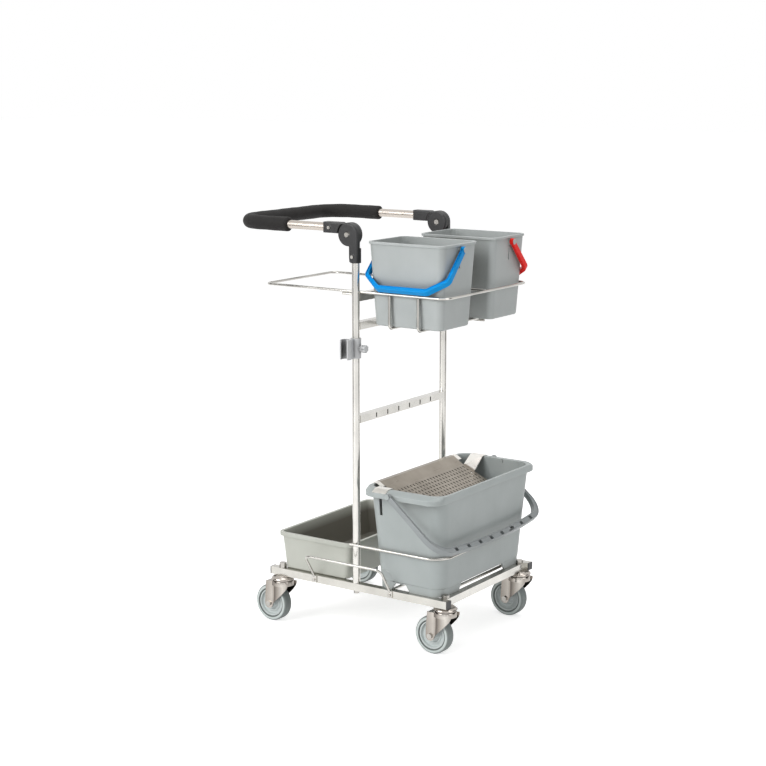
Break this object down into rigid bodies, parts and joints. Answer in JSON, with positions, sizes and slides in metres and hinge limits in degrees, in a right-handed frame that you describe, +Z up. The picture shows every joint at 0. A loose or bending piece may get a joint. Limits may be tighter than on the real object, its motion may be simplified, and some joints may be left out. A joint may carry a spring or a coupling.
{
  "type": "mop bucket trolley",
  "caption": "Tube-frame cleaning trolley on swivel castors with a folding push handle, lift-off small buckets, a large mop bucket with wringing sieve, a tray and a bag ring.",
  "frame": {"origin": "on the floor below the middle of the bounding box", "axes": "+X forwards, away from the push handle; +Z up; +Y to the left of a person who pushes"},
  "size_m": [0.7016, 0.531, 1.089],
  "materials": {
    "tyre": "non-marking grey tread",
    "wheel_hub": "moulded hub",
    "pressed_steel": "pressed and polished stainless sheet",
    "black_plastic": "fine-grained moulding",
    "foam": "closed-cell foam sleeve",
    "clip_plastic": "moulded clip",
    "bucket_plastic": "grained polypropylene",
    "bail_plastic": "ribbed moulding",
    "blue_plastic": "coloured moulding",
    "red_plastic": "coloured moulding",
    "tray_plastic": "grained polypropylene",
    "sheet_steel": "perforated stainless sheet",
    "wire_steel": "electropolished wire",
    "fasteners": "machined",
    "tube_steel": "satin stainless tube"
  },
  "bodies": {
    "frame": {"side_rail_near": "tube_steel", "side_rail_far": "tube_steel", "rail_end_caps": "black_plastic", "front_cross_rail": "tube_steel", "rear_cross_rail": "tube_steel", "rest_rods": "wire_steel", "post_near": "tube_steel", "post_far": "tube_steel", "post_bolts": "fasteners", "accessory_rail": "tube_steel", "upper_carrier_bar": "tube_steel", "lower_carrier_bar": "tube_steel", "basket_ring": "wire_steel", "basket_divider": "wire_steel", "basket_cradle_wires": "wire_steel", "basket_stays": "wire_steel", "bag_ring": "wire_steel", "bag_ring_stays": "wire_steel", "bucket_guard_ring": "wire_steel", "side_guard_near": "wire_steel", "side_guard_far": "wire_steel", "guard_screws": "fasteners", "castor_heads": "pressed_steel", "castor_nuts": "fasteners", "hinge_post_socket_near": "black_plastic", "hinge_post_socket_far": "black_plastic", "hinge_pivot_bolts": "fasteners", "hinge_screws": "fasteners", "tool_clip": "clip_plastic"},
    "handle": {"handle_tube": "tube_steel", "handle_grip": "foam", "hinge_arm_near": "black_plastic", "hinge_arm_far": "black_plastic", "arm_screws": "fasteners"},
    "clip_knob": {"clip_knob": "clip_plastic"},
    "castor_front_near": {"fork_front_near": "pressed_steel", "axle_front_near": "fasteners"},
    "wheel_front_near": {"hub_front_near": "wheel_hub", "tyre_front_near": "tyre"},
    "castor_front_far": {"fork_front_far": "pressed_steel", "axle_front_far": "fasteners"},
    "wheel_front_far": {"hub_front_far": "wheel_hub", "tyre_front_far": "tyre"},
    "castor_rear_near": {"fork_rear_near": "pressed_steel", "axle_rear_near": "fasteners"},
    "wheel_rear_near": {"hub_rear_near": "wheel_hub", "tyre_rear_near": "tyre"},
    "castor_rear_far": {"fork_rear_far": "pressed_steel", "axle_rear_far": "fasteners"},
    "wheel_rear_far": {"hub_rear_far": "wheel_hub", "tyre_rear_far": "tyre"},
    "small_bucket_near": {"small_bucket_near": "bucket_plastic"},
    "small_bucket_far": {"small_bucket_far": "bucket_plastic"},
    "small_bail_near": {"small_bail_near": "blue_plastic"},
    "small_bail_far": {"small_bail_far": "red_plastic"},
    "large_bucket": {"large_bucket": "bucket_plastic", "large_bucket_foot": "bucket_plastic"},
    "large_bail": {"large_bail": "bail_plastic"},
    "sieve": {"sieve": "sheet_steel"},
    "tray": {"tray": "tray_plastic"}
  },
  "joints": [
    {"name": "handle_fold", "type": "hinge", "parent": "frame", "child": "handle", "pos_m": [0.027, 0, 1.055], "axis": [0, 1, 0], "range_deg": [0, 90]},
    {"name": "clip_knob_turn", "type": "hinge", "parent": "frame", "child": "clip_knob", "pos_m": [0.063, -0.206, 0.7675], "axis": [1, 0, 0], "continuous": true},
    {"name": "swivel_front_near", "type": "hinge", "parent": "frame", "child": "castor_front_near", "pos_m": [0.304, -0.187, 0.114], "axis": [0, 0, 1], "continuous": true},
    {"name": "roll_front_near", "type": "hinge", "parent": "castor_front_near", "child": "wheel_front_near", "pos_m": [0.272, -0.187, 0.05], "axis": [0, 1, 0], "continuous": true},
    {"name": "swivel_front_far", "type": "hinge", "parent": "frame", "child": "castor_front_far", "pos_m": [0.304, 0.187, 0.114], "axis": [0, 0, 1], "continuous": true},
    {"name": "roll_front_far", "type": "hinge", "parent": "castor_front_far", "child": "wheel_front_far", "pos_m": [0.272, 0.187, 0.05], "axis": [0, 1, 0], "continuous": true},
    {"name": "swivel_rear_near", "type": "hinge", "parent": "frame", "child": "castor_rear_near", "pos_m": [-0.198, -0.206, 0.114], "axis": [0, 0, 1], "continuous": true},
    {"name": "roll_rear_near", "type": "hinge", "parent": "castor_rear_near", "child": "wheel_rear_near", "pos_m": [-0.23, -0.206, 0.05], "axis": [0, 1, 0], "continuous": true},
    {"name": "swivel_rear_far", "type": "hinge", "parent": "frame", "child": "castor_rear_far", "pos_m": [-0.198, 0.206, 0.114], "axis": [0, 0, 1], "continuous": true},
    {"name": "roll_rear_far", "type": "hinge", "parent": "castor_rear_far", "child": "wheel_rear_far", "pos_m": [-0.23, 0.206, 0.05], "axis": [0, 1, 0], "continuous": true},
    {"name": "small_bucket_lift_near", "type": "slide", "parent": "frame", "child": "small_bucket_near", "axis": [0, 0, 1], "range_m": [0, 0.2]},
    {"name": "small_bail_swing_near", "type": "hinge", "parent": "small_bucket_near", "child": "small_bail_near", "pos_m": [0.187, -0.12, 1.025], "axis": [-1, 0, 0], "range_deg": [0, 180]},
    {"name": "small_bucket_lift_far", "type": "slide", "parent": "frame", "child": "small_bucket_far", "axis": [0, 0, 1], "range_m": [0, 0.2]},
    {"name": "small_bail_swing_far", "type": "hinge", "parent": "small_bucket_far", "child": "small_bail_far", "pos_m": [0.187, 0.12, 1.025], "axis": [1, 0, 0], "range_deg": [0, 180]},
    {"name": "large_bucket_lift", "type": "slide", "parent": "frame", "child": "large_bucket", "axis": [0, 0, 1], "range_m": [0, 0.12]},
    {"name": "large_bail_swing", "type": "hinge", "parent": "large_bucket", "child": "large_bail", "pos_m": [0.177, 0, 0.409], "axis": [0, -1, 0], "range_deg": [0, 130]},
    {"name": "sieve_lift", "type": "slide", "parent": "large_bucket", "child": "sieve", "axis": [0, 0, 1], "range_m": [0, 0.1]},
    {"name": "tray_lift", "type": "slide", "parent": "frame", "child": "tray", "axis": [0, 0, 1], "range_m": [0, 0.15]}
  ]
}
